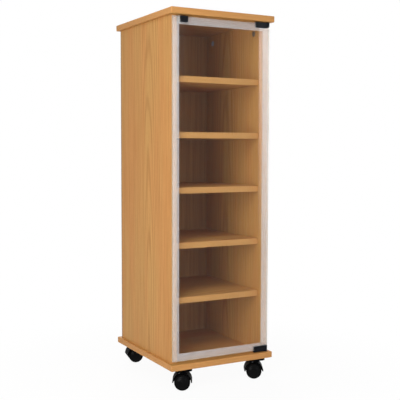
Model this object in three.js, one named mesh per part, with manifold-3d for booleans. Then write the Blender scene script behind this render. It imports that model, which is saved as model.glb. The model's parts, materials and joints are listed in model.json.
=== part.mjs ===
// Glass-fronted media tower on four swivel casters.
// Millimetres, +Z up, the front faces -Y and the origin lies on the floor under the tower's middle.

import * as THREE from 'three';
import { mergeVertices } from 'three/addons/utils/BufferGeometryUtils.js';
import Module from 'manifold-3d';

// Clearances that every fit shares
const fit_gap = 0.3;
const run_gap = 0.3;
const cut_overrun = 2;
const weld_distance = 0.0005;

// Top and base boards
const board_width = 310;
const board_depth = 360;
const board_thickness = 16;
const board_corner_radius = 2.5;
const board_edge_round = 1;

// Side panels, set in from the boards' edges
const panel_height = 898;
const panel_thickness = 16;
const side_overhang = 8;
const front_overhang = 21;
const back_overhang = 14;

// Back panel in its grooves
const back_thickness = 3;
const groove_depth = 6;
const groove_inset = 9;

// Shelves, spread about the middle of the side panels
const shelf_count = 5;
const shelf_pitch = 145;
const shelf_thickness = 16;
const shelf_setback = 21;
const shelf_dowel_inset = 40;

// Dowels at the ends of shelves and side panels
const dowel_radius = 4;
const dowel_reach = 8;
const panel_dowel_inset = 80;

// Cam fittings that draw the top board down on the side panels
const fastener_inset = 48;
const cam_radius = 7.5;
const cam_skin = 3.6;
const cam_drop = 24;
const cam_face = 2;
const cam_bolt_radius = 3;
const cam_bolt_grip = 10.5;
const cam_neck_radius = 1.7;
const cam_head_length = 3;
const cam_neck_length = 4;
const cam_recess_radius = 2.6;
const cam_recess_depth = 1;

// Screws that come up through the base board into the side panels
const screw_length = 50;
const screw_head_radius = 5;
const screw_head_height = 3;
const screw_shoulder_radius = 3.5;
const screw_thread_radius = 2.6;
const screw_point_length = 3;
const screw_socket_radius = 2.3;
const screw_socket_depth = 2.4;

// Glass door with its frosted border
const glass_thickness = 4;
const glass_side_inset = 1;
const glass_top_gap = 4;
const glass_bottom_gap = 5;
const border_width = 20;
const film_thickness = 0.2;

// Pivot hinges clamped on the glass
const door_gap = 0.5;
const jaw_wall = 2.2;
const barrel_bulge = 1.3;
const glass_edge_gap = 0.2;
const shoe_length = 44;
const shoe_grip = 12;
const shoe_cut_length = 10;
const shoe_cut_height = 5;
const pin_radius = 2.5;
const pin_reach = 9;
const bush_wall = 1.7;
const bush_depth = 10;
const bush_flange_radius = 6;
const bush_flange_thickness = 1;
const clamp_offset = 16;
const clamp_hole_radius = 2.3;

// Strike clip on the glass and the push latch behind it
const strike_inset = 22;
const strike_width = 22;
const strike_drop = 15;
const strike_sheet = 1.1;
const latch_length = 50;
const latch_width = 18;
const latch_height = 15;
const latch_corner_radius = 3;
const latch_setback = 8;
const latch_foot_width = 32;
const latch_foot_length = 16;
const latch_foot_thickness = 2.5;
const latch_screw_radius = 1.8;
const latch_screw_spacing = 24;
const latch_end_wall = 5;
const plunger_radius = 4.2;
const plunger_length = 32;
const magnet_thickness = 3;
const spring_radius = 3.2;
const spring_wire_radius = 0.5;
const spring_turns = 6;

// Twin-wheel casters
const caster_side_inset = 42;
const caster_end_inset = 26;
const caster_trail = 2;
const plate_width = 44;
const plate_thickness = 6.5;
const plate_corner_radius = 5;
const plate_hole_inset = 6.5;
const plate_hole_radius = 2.3;
const wheel_radius = 21;
const wheel_width = 13;
const wheel_gap = 14;
const tread_round = 1.6;
const tread_step = 3.2;
const cap_groove = 0.8;
const cap_dome = 1.6;
const wheel_hollow = 3;
const wheel_hub_radius = 6;
const fender_gap = 2;
const fender_wall = 3;
const web_thickness = 12.6;
const hub_radius = 7;
const neck_radius = 14;
const neck_rise = 2.2;
const kingpin_radius = 4;
const kingpin_length = 21;
const kingpin_head_radius = 6;
const kingpin_head_height = 2;
const axle_radius = 2.5;
const axle_seat = 9.5;

// How far round its axle a caster's web is left open on the trailing side
const web_open_angle = THREE.MathUtils.degToRad(50);

// How each caster stands, as a turn of its trailing side from +X
const caster_turns = {
  front_left: THREE.MathUtils.degToRad(-28.5),
  front_right: THREE.MathUtils.degToRad(151.5),
  rear_left: THREE.MathUtils.degToRad(-12),
  rear_right: THREE.MathUtils.degToRad(151.5),
};

// Facets on round work
const dowel_sides = 8;
const pin_sides = 12;
const barrel_sides = 20;
const cam_sides = 16;
const wheel_sides = 20;
const fender_sides = 12;
const corner_steps = 2;
const spring_steps = 6;
const spring_sides = 4;
const socket_sides = 6;

// Heights, from the floor up
const axle_height = wheel_radius;
const fender_inner = wheel_radius + fender_gap;
const fender_outer = fender_inner + fender_wall;
const neck_top = axle_height + fender_outer + neck_rise;
const plate_bottom = neck_top + run_gap;
const base_bottom = plate_bottom + plate_thickness;
const base_top = base_bottom + board_thickness;
const panel_top = base_top + panel_height;
const tower_top = panel_top + board_thickness;
const panel_middle = (base_top + panel_top) / 2;

// Places across the tower
const board_half_width = board_width / 2;
const body_half_width = board_half_width - side_overhang;
const inner_half_width = body_half_width - panel_thickness;
const panel_middle_x = body_half_width - panel_thickness / 2;

// Places from front to back
const board_front = -board_depth / 2;
const board_back = board_depth / 2;
const panel_front = board_front + front_overhang;
const panel_back = board_back - back_overhang;
const back_rear_face = panel_back - groove_inset;
const back_front_face = back_rear_face - back_thickness;
const shelf_front = panel_front + shelf_setback;
const shelf_back = back_front_face - fit_gap;

// Door: the pivot stands in the middle of the glass, one barrel radius clear of the side panels
const jaw_inner = glass_thickness / 2 + film_thickness + fit_gap;
const jaw_outer = jaw_inner + jaw_wall;
const barrel_radius = jaw_outer + barrel_bulge;
const pivot_y = panel_front - door_gap - barrel_radius;
const glass_front = pivot_y - glass_thickness / 2;
const glass_back = pivot_y + glass_thickness / 2;
const film_back = glass_back + film_thickness;
const glass_half_width = body_half_width - glass_side_inset;
const glass_reach = Math.sqrt(barrel_radius ** 2 - (glass_thickness / 2) ** 2) - glass_edge_gap;
const pivot_x = glass_half_width - glass_reach;
const pivot = [pivot_x, pivot_y];
const glass_bottom = base_top + glass_bottom_gap;
const glass_top = panel_top - glass_top_gap;

const wasm = await Module();
wasm.setup();

// Basic operations

function solid(geometry) {
  const bare = geometry.clone();
  bare.deleteAttribute('normal');
  bare.deleteAttribute('uv');
  const welded = mergeVertices(bare, weld_distance);
  return new wasm.Manifold(new wasm.Mesh({
    numProp: 3,
    vertProperties: new Float32Array(welded.attributes.position.array),
    triVerts: new Uint32Array(welded.index.array),
  }));
}

function join(first, ...others) {
  return others.reduce((sum, other) => sum.add(other), first);
}

function cut(first, ...others) {
  return others.reduce((rest, other) => rest.subtract(other), first);
}

// Sets the vertices that lie at one of the given levels exactly on it, so that flat faces meet
function level(geometry, axis, levels) {
  const position = geometry.attributes.position;
  for (let i = 0; i < position.count; i += 1) {
    const here = position.getComponent(i, axis);
    const near = levels.find((value) => Math.abs(value - here) < weld_distance);
    if (near !== undefined) {
      position.setComponent(i, axis, near);
    }
  }
  return geometry;
}

function sorted(a, b) {
  return a < b ? [a, b] : [b, a];
}

function block(x, y, z) {
  const box = new THREE.BoxGeometry(1, 1, 1);
  const position = box.attributes.position;
  for (let i = 0; i < position.count; i += 1) {
    position.setXYZ(
      i,
      x[position.getX(i) < 0 ? 0 : 1],
      y[position.getY(i) < 0 ? 0 : 1],
      z[position.getZ(i) < 0 ? 0 : 1],
    );
  }
  return solid(box);
}

// A round bar or hole about one of the three axes, from one place on it to another
function bar(axis, centre, radius, span, sides, end_radius = radius) {
  const [low, high] = sorted(...span);
  const radii = span[0] < span[1] ? [end_radius, radius] : [radius, end_radius];
  const rod = new THREE.CylinderGeometry(radii[0], radii[1], high - low, sides);
  if (axis === 'x') {
    rod.rotateZ(-Math.PI / 2);
    rod.translate((low + high) / 2, centre[0], centre[1]);
    return solid(level(rod, 0, [low, high]));
  }
  if (axis === 'z') {
    rod.rotateX(Math.PI / 2);
    rod.translate(centre[0], centre[1], (low + high) / 2);
    return solid(level(rod, 2, [low, high]));
  }
  rod.translate(centre[0], (low + high) / 2, centre[1]);
  return solid(level(rod, 1, [low, high]));
}

// A profile of [radius, height] points turned about +Z, its first and last points on the axis
function turned(profile, sides) {
  const lathe = new THREE.LatheGeometry(profile.map(([r, z]) => new THREE.Vector2(r, z)), sides);
  lathe.rotateX(Math.PI / 2);
  return solid(level(lathe, 2, profile.map((point) => point[1])));
}

function rounded_outline(width, depth, radius) {
  const x = width / 2 - radius;
  const y = depth / 2 - radius;
  const outline = new THREE.Shape();
  outline.absarc(x, y, radius, 0, Math.PI / 2);
  outline.absarc(-x, y, radius, Math.PI / 2, Math.PI);
  outline.absarc(-x, -y, radius, Math.PI, Math.PI * 1.5);
  outline.absarc(x, -y, radius, Math.PI * 1.5, Math.PI * 2);
  outline.closePath();
  return outline;
}

// A flat outline given thickness along +Z, with its edges eased by the given round
function slab(outline, span, round = 0) {
  const [low, high] = sorted(...span);
  const body = new THREE.ExtrudeGeometry(outline, {
    depth: high - low - 2 * round,
    bevelEnabled: round > 0,
    bevelThickness: round,
    bevelSize: round,
    bevelOffset: -round,
    bevelSegments: 1,
    curveSegments: corner_steps,
  });
  body.translate(0, 0, low + round);
  return solid(level(body, 2, [low, high]));
}

// The same along +Y: the outline's own y is height
function upright_slab(outline, span, steps) {
  const [low, high] = sorted(...span);
  const body = new THREE.ExtrudeGeometry(outline, {
    depth: high - low,
    bevelEnabled: false,
    curveSegments: steps,
  });
  body.rotateX(Math.PI / 2);
  body.translate(0, high, 0);
  return solid(level(body, 1, [low, high]));
}

// Finishes

function finish(name, color, roughness, metalness = 0, opacity = 1) {
  const material = new THREE.MeshStandardMaterial({ color, roughness, metalness, opacity });
  material.transparent = opacity < 1;
  material.name = name;
  return material;
}

const beech = finish('beech', '#c8945c', 0.5);
const backing = finish('backing', '#c9a06e', 0.6);
const glass = finish('glass', '#dfe8e6', 0.05, 0, 0.25);
const frost = finish('frost', '#c8c3c4', 0.6, 0, 0.8);
const black_plastic = finish('black_plastic', '#16181a', 0.4);
const white_plastic = finish('white_plastic', '#d8d8d4', 0.45);
const black_metal = finish('black_metal', '#1c1f24', 0.35, 0.6);
const zinc = finish('zinc', '#9a9ca0', 0.35, 0.9);

const tower = new THREE.Group();

function add(name, shape, material, parent = tower) {
  const cut_mesh = shape.getMesh();
  const geometry = new THREE.BufferGeometry();
  geometry.setAttribute('position', new THREE.BufferAttribute(cut_mesh.vertProperties, 3));
  geometry.setIndex(new THREE.BufferAttribute(cut_mesh.triVerts, 1));
  geometry.computeVertexNormals();
  const mesh = new THREE.Mesh(geometry, material);
  mesh.name = name;
  parent.add(mesh);
  return mesh;
}

// Boards

const sides = [-1, 1];
const panel_dowel_places = [panel_front + panel_dowel_inset, panel_back - panel_dowel_inset];
const fastener_places = [panel_front + fastener_inset, panel_back - fastener_inset];

function board(low, high) {
  const outline = rounded_outline(board_width, board_depth, board_corner_radius);
  return slab(outline, [low, high], board_edge_round);
}

function dowel_sockets(face, up) {
  const radius = dowel_radius + fit_gap;
  const depth = dowel_reach + fit_gap;
  const span = [face - up * cut_overrun, face + up * depth];
  return sides.flatMap((side) => panel_dowel_places.map((y) => (
    bar('z', [side * panel_middle_x, y], radius, span, dowel_sides)
  )));
}

function bush_socket(face, up) {
  const radius = pin_radius + run_gap + bush_wall + fit_gap;
  const depth = bush_depth + fit_gap;
  return bar('z', pivot, radius, [face - up * cut_overrun, face + up * depth], pin_sides);
}

function cam_bolt_sockets() {
  const span = [panel_top - cut_overrun, panel_top + cam_bolt_grip + fit_gap];
  return sides.flatMap((side) => fastener_places.map((y) => (
    bar('z', [side * panel_middle_x, y], cam_bolt_radius + fit_gap, span, dowel_sides)
  )));
}

function top_board() {
  return cut(
    board(panel_top, tower_top),
    ...dowel_sockets(panel_top, 1),
    ...cam_bolt_sockets(),
    bush_socket(panel_top, 1),
  );
}

function screw_hole(x, y) {
  const shoulder = screw_shoulder_radius + fit_gap;
  const mouth = screw_head_radius + fit_gap;
  return join(
    bar('z', [x, y], shoulder, [base_bottom - cut_overrun, base_top + cut_overrun], pin_sides),
    bar('z', [x, y], mouth, [base_bottom - cut_overrun, base_bottom + fit_gap], pin_sides),
    bar('z', [x, y], mouth, [base_bottom, base_bottom + screw_head_height + fit_gap], pin_sides, shoulder),
  );
}

function base_board() {
  const screws = sides.flatMap((side) => fastener_places.map((y) => screw_hole(side * panel_middle_x, y)));
  return cut(
    board(base_bottom, base_top),
    ...dowel_sockets(base_top, -1),
    bush_socket(base_top, -1),
    ...screws,
  );
}

add('top_board', top_board(), beech);
add('base_board', base_board(), beech);

// Side panels

const shelf_heights = Array.from(
  { length: shelf_count },
  (_, i) => panel_middle + (i - (shelf_count - 1) / 2) * shelf_pitch,
);
const shelf_dowel_places = [shelf_front + shelf_dowel_inset, shelf_back - shelf_dowel_inset];
const cam_depth = panel_thickness - cam_skin;
const cam_height = panel_top - cam_drop;

function side_panel(side) {
  const across = (near, far) => sorted(side * near, side * far);
  const middle = side * panel_middle_x;
  const body = block(
    across(inner_half_width, body_half_width),
    [panel_front, panel_back],
    [base_top, panel_top],
  );
  const dowels = panel_dowel_places.flatMap((y) => [
    bar('z', [middle, y], dowel_radius, [panel_top - dowel_reach, panel_top + dowel_reach], dowel_sides),
    bar('z', [middle, y], dowel_radius, [base_top + dowel_reach, base_top - dowel_reach], dowel_sides),
  ]);
  const groove = block(
    across(inner_half_width - cut_overrun, inner_half_width + groove_depth),
    [back_front_face - fit_gap, back_rear_face + fit_gap],
    [base_top - cut_overrun, panel_top + cut_overrun],
  );
  const shelf_sockets = shelf_heights.flatMap((z) => shelf_dowel_places.map((y) => bar(
    'x',
    [y, z],
    dowel_radius + fit_gap,
    across(inner_half_width - cut_overrun, inner_half_width + dowel_reach + fit_gap),
    dowel_sides,
  )));
  const cam_span = across(inner_half_width - cut_overrun, inner_half_width + cam_depth + fit_gap);
  const screw_span = [base_top - cut_overrun, base_bottom + screw_length + 2 * fit_gap];
  const bolt_span = [panel_top + cut_overrun, cam_height];
  const fittings = fastener_places.flatMap((y) => [
    bar('x', [y, cam_height], cam_radius + fit_gap, cam_span, cam_sides),
    bar('z', [middle, y], cam_bolt_radius + fit_gap, bolt_span, dowel_sides),
    bar('z', [middle, y], screw_thread_radius + fit_gap, screw_span, pin_sides),
  ]);
  return cut(join(body, ...dowels), groove, ...shelf_sockets, ...fittings);
}

add('side_panel_left', side_panel(-1), beech);
add('side_panel_right', side_panel(1), beech);

function back_panel() {
  const half_width = inner_half_width + groove_depth - fit_gap;
  return block(
    [-half_width, half_width],
    [back_front_face, back_rear_face],
    [base_top, panel_top - fit_gap],
  );
}

add('back_panel', back_panel(), backing);

// Shelves, numbered from the top

function shelf(z) {
  const half_width = inner_half_width - fit_gap;
  const body = block(
    [-half_width, half_width],
    [shelf_front, shelf_back],
    [z - shelf_thickness / 2, z + shelf_thickness / 2],
  );
  const dowels = shelf_dowel_places.flatMap((y) => sides.map((side) => bar(
    'x',
    [y, z],
    dowel_radius,
    [side * (half_width - dowel_reach), side * (inner_half_width + dowel_reach)],
    dowel_sides,
  )));
  return join(body, ...dowels);
}

shelf_heights.toReversed().forEach((z, i) => add(`shelf_${i + 1}`, shelf(z), beech));

// Cam discs: each has a slot for the bolt's head, closed by a face that shows inside the tower

function cam_disc(side, y) {
  const face = side * inner_half_width;
  const rear = side * (inner_half_width + cam_depth);
  const slot_half = cam_bolt_radius + fit_gap;
  const disc = bar('x', [y, cam_height], cam_radius, [face, rear], cam_sides);
  const slot = block(
    sorted(side * (inner_half_width + cam_face), side * (inner_half_width + cam_depth + cut_overrun)),
    [y - slot_half, y + slot_half],
    [cam_height - cam_head_length, cam_height + cam_radius + cut_overrun],
  );
  const recess = bar('x', [y, cam_height], cam_recess_radius, [
    side * (inner_half_width - cut_overrun),
    side * (inner_half_width + cam_recess_depth),
  ], socket_sides);
  return cut(disc, slot, recess);
}

// The bolt stands in the top board and reaches into the side panel, with a head that the cam grips
function cam_bolt(x, y) {
  const head_top = cam_height + cam_head_length / 2;
  const neck_end = head_top + cam_neck_length;
  return join(
    bar('z', [x, y], cam_bolt_radius, [neck_end, panel_top + cam_bolt_grip], dowel_sides),
    bar('z', [x, y], cam_neck_radius, [head_top - fit_gap, neck_end + fit_gap], dowel_sides),
    bar('z', [x, y], cam_bolt_radius, [head_top - cam_head_length, head_top], dowel_sides),
  );
}

function base_screw(x, y) {
  const bottom = base_bottom + fit_gap;
  const top = bottom + screw_length;
  const body = turned([
    [0, bottom],
    [screw_head_radius, bottom],
    [screw_shoulder_radius, bottom + screw_head_height],
    [screw_shoulder_radius, base_top - fit_gap],
    [screw_thread_radius, base_top],
    [screw_thread_radius, top - screw_point_length],
    [0, top],
  ], pin_sides);
  const socket_span = [bottom - cut_overrun, bottom + screw_socket_depth];
  const socket = bar('z', [0, 0], screw_socket_radius, socket_span, socket_sides);
  return cut(body, socket).translate([x, y, 0]);
}

const side_names = { [-1]: 'left', 1: 'right' };
const end_names = ['front', 'rear'];

for (const side of sides) {
  fastener_places.forEach((y, i) => {
    const place = `${end_names[i]}_${side_names[side]}`;
    add(`cam_disc_${place}`, cam_disc(side, y), zinc);
    add(`cam_bolt_${place}`, cam_bolt(side * panel_middle_x, y), zinc);
    add(`base_screw_${place}`, base_screw(side * panel_middle_x, y), zinc);
  });
}

// Door glass and the frosted film on its inner face

function door_glass() {
  return block([-glass_half_width, glass_half_width], [glass_front, glass_back], [glass_bottom, glass_top]);
}

function frosted_border() {
  const window_half = glass_half_width - border_width;
  return cut(
    block([-glass_half_width, glass_half_width], [glass_back, film_back], [glass_bottom, glass_top]),
    block(
      [-window_half, window_half],
      [glass_back - cut_overrun, film_back + cut_overrun],
      [glass_bottom + border_width, glass_top - border_width],
    ),
  );
}

add('door_glass', door_glass(), glass);
add('door_frosted_border', frosted_border(), frost);

// Pivot hinges: a shoe clamps each right corner of the glass, and its pin turns in a bush in the board.
// up is 1 for the upper hinge and -1 for the lower, edge is the glass's end and face the board's.

function hinge_places(up) {
  const edge = up > 0 ? glass_top : glass_bottom;
  const face = up > 0 ? panel_top : base_top;
  const web_outer = face - up * (bush_flange_thickness + run_gap);
  return { edge, face, web_outer };
}

function hinge_shoe(up) {
  const { edge, web_outer } = hinge_places(up);
  const free_end = pivot_x + barrel_radius - shoe_length;
  const span = sorted(edge - up * shoe_grip, web_outer);
  const jaws = block([free_end, pivot_x], [pivot_y - jaw_outer, pivot_y + jaw_outer], span);
  const barrel = bar('z', pivot, barrel_radius, span, barrel_sides);
  const slot = block(
    [free_end - cut_overrun, pivot_x + barrel_radius + cut_overrun],
    [pivot_y - jaw_inner, pivot_y + jaw_inner],
    sorted(edge - up * (shoe_grip + cut_overrun), edge + up * fit_gap),
  );
  const pin_span = [edge, web_outer + up * cut_overrun];
  const pin_hole = bar('z', pivot, pin_radius + fit_gap, pin_span, pin_sides);
  const clamp_hole = bar(
    'y',
    [free_end + clamp_offset, edge - up * shoe_grip / 2],
    clamp_hole_radius,
    [pivot_y, pivot_y + jaw_outer + cut_overrun],
    dowel_sides,
  );
  return cut(join(jaws, barrel), slot, pin_hole, clamp_hole);
}

// The upper shoe's lower corner is cut off towards the pivot
function upper_shoe_corner() {
  const tip = pivot_x + barrel_radius;
  const low = glass_top - shoe_grip;
  const corner = new THREE.Shape();
  corner.moveTo(tip - shoe_cut_length, low);
  corner.lineTo(tip - shoe_cut_length, low - cut_overrun);
  corner.lineTo(tip + cut_overrun, low - cut_overrun);
  corner.lineTo(tip + cut_overrun, low + shoe_cut_height);
  corner.lineTo(tip, low + shoe_cut_height);
  corner.closePath();
  const reach = barrel_radius + cut_overrun;
  return upright_slab(corner, [pivot_y - reach, pivot_y + reach], corner_steps);
}

function hinge_pin(up) {
  const { edge, face } = hinge_places(up);
  return bar('z', pivot, pin_radius, [edge + up * 2 * fit_gap, face + up * pin_reach], pin_sides);
}

function hinge_bush(up) {
  const { face } = hinge_places(up);
  const bore = pin_radius + run_gap;
  return cut(
    join(
      bar('z', pivot, bush_flange_radius, [face - up * bush_flange_thickness, face], barrel_sides),
      bar('z', pivot, bore + bush_wall, [face - up * fit_gap, face + up * bush_depth], pin_sides),
    ),
    bar('z', pivot, bore, [face - up * cut_overrun, face + up * (bush_depth + cut_overrun)], pin_sides),
  );
}

for (const [end, up] of [['upper', 1], ['lower', -1]]) {
  const shoe = up > 0 ? cut(hinge_shoe(up), upper_shoe_corner()) : hinge_shoe(up);
  add(`hinge_shoe_${end}`, shoe, black_metal);
  add(`hinge_pin_${end}`, hinge_pin(up), zinc);
  add(`hinge_bush_${end}`, hinge_bush(up), black_plastic);
}

// Strike clip, folded over the top edge of the glass

const strike_left = -glass_half_width + strike_inset;
const strike_right = strike_left + strike_width;
const strike_back = film_back + fit_gap + strike_sheet;

function strike_clip() {
  const low = glass_top - strike_drop;
  return cut(
    block(
      [strike_left, strike_right],
      [glass_front - fit_gap - strike_sheet, strike_back],
      [low, glass_top + fit_gap + strike_sheet],
    ),
    block(
      [strike_left - cut_overrun, strike_right + cut_overrun],
      [glass_front - fit_gap, film_back + fit_gap],
      [low - cut_overrun, glass_top + fit_gap],
    ),
  );
}

add('strike_clip', strike_clip(), black_metal);

// Push latch under the top board: a spring drives the plunger, whose magnet holds the strike clip

const latch_x = (strike_left + strike_right) / 2;
const latch_axis = panel_top - latch_height / 2;
const latch_front = panel_front + latch_setback;
const latch_back = latch_front + latch_length;
const magnet_front = strike_back + run_gap;
const magnet_back = magnet_front + magnet_thickness;
const plunger_back = magnet_back + plunger_length;
const latch_bore_end = latch_back - latch_end_wall;

function latch_housing() {
  const outline = rounded_outline(latch_width, latch_height, latch_corner_radius);
  const tube = upright_slab(outline, [latch_front, latch_back], corner_steps);
  const square_top = block(
    [latch_x - latch_width / 2, latch_x + latch_width / 2],
    [latch_front, latch_back],
    [latch_axis, panel_top],
  );
  const foot_middle = (latch_front + latch_back) / 2;
  const foot = block(
    [latch_x - latch_foot_width / 2, latch_x + latch_foot_width / 2],
    [foot_middle - latch_foot_length / 2, foot_middle + latch_foot_length / 2],
    [panel_top - latch_foot_thickness, panel_top],
  );
  const screw_holes = sides.map((side) => bar(
    'z',
    [latch_x + side * latch_screw_spacing / 2, foot_middle],
    latch_screw_radius,
    [panel_top - latch_foot_thickness - cut_overrun, panel_top + cut_overrun],
    dowel_sides,
  ));
  const bore = bar(
    'y',
    [latch_x, latch_axis],
    plunger_radius + run_gap,
    [latch_front - cut_overrun, latch_bore_end],
    barrel_sides,
  );
  return cut(join(tube.translate([latch_x, 0, latch_axis]), square_top, foot), bore, ...screw_holes);
}

class Coil extends THREE.Curve {
  constructor(start, end) {
    super();
    this.start = start;
    this.end = end;
  }

  getPoint(t, target = new THREE.Vector3()) {
    const angle = t * spring_turns * Math.PI * 2;
    return target.set(
      latch_x + spring_radius * Math.cos(angle),
      this.start + (this.end - this.start) * t,
      latch_axis + spring_radius * Math.sin(angle),
    );
  }
}

function latch_spring() {
  const section = new THREE.Shape();
  for (let i = 0; i < spring_sides; i += 1) {
    const angle = i / spring_sides * Math.PI * 2;
    const point = [spring_wire_radius * Math.cos(angle), spring_wire_radius * Math.sin(angle)];
    if (i === 0) {
      section.moveTo(...point);
    } else {
      section.lineTo(...point);
    }
  }
  section.closePath();
  const clear = spring_wire_radius + fit_gap;
  return solid(new THREE.ExtrudeGeometry(section, {
    steps: spring_turns * spring_steps,
    extrudePath: new Coil(plunger_back + clear, latch_bore_end - clear),
  }));
}

function plunger_bar(span) {
  return bar('y', [latch_x, latch_axis], plunger_radius, span, barrel_sides);
}

add('latch_housing', latch_housing(), white_plastic);
add('latch_plunger', plunger_bar([magnet_back, plunger_back]), white_plastic);
add('latch_magnet', plunger_bar([magnet_front, magnet_back]), zinc);
add('latch_spring', latch_spring(), zinc);

// Casters: each is built about its own swivel axis, its trailing side towards +X and its axle along Y

const wheel_inner = wheel_gap / 2;
const wheel_outer = wheel_inner + wheel_width;
const hood_half_width = wheel_outer;

function caster_plate() {
  const hole_place = plate_width / 2 - plate_hole_inset;
  const outline = rounded_outline(plate_width, plate_width, plate_corner_radius);
  const holes = sides.flatMap((x) => sides.map((y) => bar(
    'z',
    [x * hole_place, y * hole_place],
    plate_hole_radius,
    [plate_bottom - cut_overrun, base_bottom + cut_overrun],
    dowel_sides,
  )));
  const pin_hole = bar(
    'z',
    [0, 0],
    kingpin_radius + fit_gap,
    [plate_bottom - cut_overrun, base_bottom + cut_overrun],
    pin_sides,
  );
  const head_room = bar(
    'z',
    [0, 0],
    kingpin_head_radius + fit_gap,
    [base_bottom - kingpin_head_height - fit_gap, base_bottom + cut_overrun],
    pin_sides,
  );
  return cut(slab(outline, [plate_bottom, base_bottom]), ...holes, pin_hole, head_room);
}

function kingpin() {
  const head_bottom = base_bottom - kingpin_head_height;
  const tip = neck_top - kingpin_length;
  return join(
    bar('z', [0, 0], kingpin_head_radius, [head_bottom, base_bottom], pin_sides),
    bar('z', [0, 0], kingpin_radius, [tip, head_bottom + kingpin_head_height / 2], pin_sides),
  );
}

function fender_outline() {
  const outline = new THREE.Shape();
  outline.absarc(0, 0, fender_outer, 0, Math.PI);
  outline.absarc(0, 0, fender_inner, Math.PI, 0, true);
  outline.closePath();
  return outline;
}

function web_outline() {
  const radius = fender_inner + fender_wall / 2;
  const outline = new THREE.Shape();
  outline.moveTo(0, 0);
  outline.lineTo(radius * Math.cos(web_open_angle), radius * Math.sin(web_open_angle));
  outline.absarc(0, 0, radius, web_open_angle, Math.PI);
  outline.closePath();
  return outline;
}

function caster_hood() {
  const web_half = web_thickness / 2;
  const fender = upright_slab(fender_outline(), [-hood_half_width, hood_half_width], fender_sides);
  const web = upright_slab(web_outline(), [-web_half, web_half], fender_sides);
  const hub = bar('y', [0, 0], hub_radius, [-web_half, web_half], pin_sides);
  const arch = join(fender, web, hub).translate([caster_trail, 0, axle_height]);
  const neck = cut(
    bar('z', [0, 0], neck_radius, [axle_height, neck_top], barrel_sides),
    bar(
      'y',
      [caster_trail, axle_height],
      fender_inner + fender_wall / 2,
      [-hood_half_width - cut_overrun, hood_half_width + cut_overrun],
      2 * fender_sides,
    ),
  );
  const pin_bore = bar(
    'z',
    [0, 0],
    kingpin_radius + run_gap,
    [neck_top - kingpin_length - run_gap, neck_top + cut_overrun],
    pin_sides,
  );
  const axle_bore = bar(
    'y',
    [caster_trail, axle_height],
    axle_radius + fit_gap,
    [-web_half - cut_overrun, web_half + cut_overrun],
    pin_sides,
  );
  return cut(join(arch, neck), pin_bore, axle_bore);
}

// Each wheel is open inwards round its hub, and its domed cap stands within a stepped tread. The facets of
// the tread lie round the true circle, and the wheel is turned by half a facet to stand on one of them.
function caster_wheel(side) {
  const bore = axle_radius + run_gap;
  const rim = wheel_radius - tread_step;
  const tread = wheel_radius / Math.cos(Math.PI / wheel_sides);
  const body = turned([
    [0, wheel_inner + axle_seat + run_gap],
    [bore, wheel_inner + axle_seat + run_gap],
    [bore, wheel_inner],
    [wheel_hub_radius, wheel_inner],
    [wheel_hub_radius, wheel_inner + wheel_hollow],
    [rim, wheel_inner + wheel_hollow],
    [rim, wheel_inner],
    [tread - tread_round, wheel_inner],
    [tread, wheel_inner + tread_round],
    [tread, wheel_outer - tread_round],
    [tread - tread_round, wheel_outer],
    [rim + cap_groove, wheel_outer],
    [rim, wheel_outer - cap_groove],
    [rim - cap_groove, wheel_outer],
    [0, wheel_outer + cap_dome],
  ], wheel_sides);
  return body
    .rotate([0, 0, THREE.MathUtils.radToDeg(Math.PI / wheel_sides)])
    .rotate([side > 0 ? -90 : 90, 0, 0])
    .translate([caster_trail, 0, axle_height]);
}

function caster_axle() {
  const half_length = wheel_inner + axle_seat;
  return bar('y', [caster_trail, axle_height], axle_radius, [-half_length, half_length], pin_sides);
}

const caster_x = board_half_width - caster_side_inset;
const caster_y = board_back - caster_end_inset;

function caster(place, x, y, turn) {
  const fixed = new THREE.Group();
  fixed.position.set(x, y, 0);
  add(`caster_${place}_plate`, caster_plate(), black_plastic, fixed);
  add(`caster_${place}_kingpin`, kingpin(), zinc, fixed);
  const swivel = new THREE.Group();
  swivel.rotation.z = turn;
  add(`caster_${place}_hood`, caster_hood(), black_plastic, swivel);
  add(`caster_${place}_axle`, caster_axle(), zinc, swivel);
  add(`caster_${place}_wheel_a`, caster_wheel(-1), black_plastic, swivel);
  add(`caster_${place}_wheel_b`, caster_wheel(1), black_plastic, swivel);
  fixed.add(swivel);
  tower.add(fixed);
}

[[-1, 'front'], [1, 'rear']].forEach(([along, end]) => {
  sides.forEach((side) => {
    const place = `${end}_${side_names[side]}`;
    caster(place, side * caster_x, along * caster_y, caster_turns[place]);
  });
});

export default tower;
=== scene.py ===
"""Dresses the glass-fronted media tower and sets it in a plain studio.

Its pieces get wood decor, glass, film, plastic and metal. Metres throughout. +Z is up, the door faces -Y,
and the origin lies on the floor under the tower's middle.
"""

import json
import logging
import math
from collections.abc import Sequence
from dataclasses import dataclass, field, replace
from enum import Enum
from functools import partial

import bmesh
import bpy
from mathutils import Matrix, Vector

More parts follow.
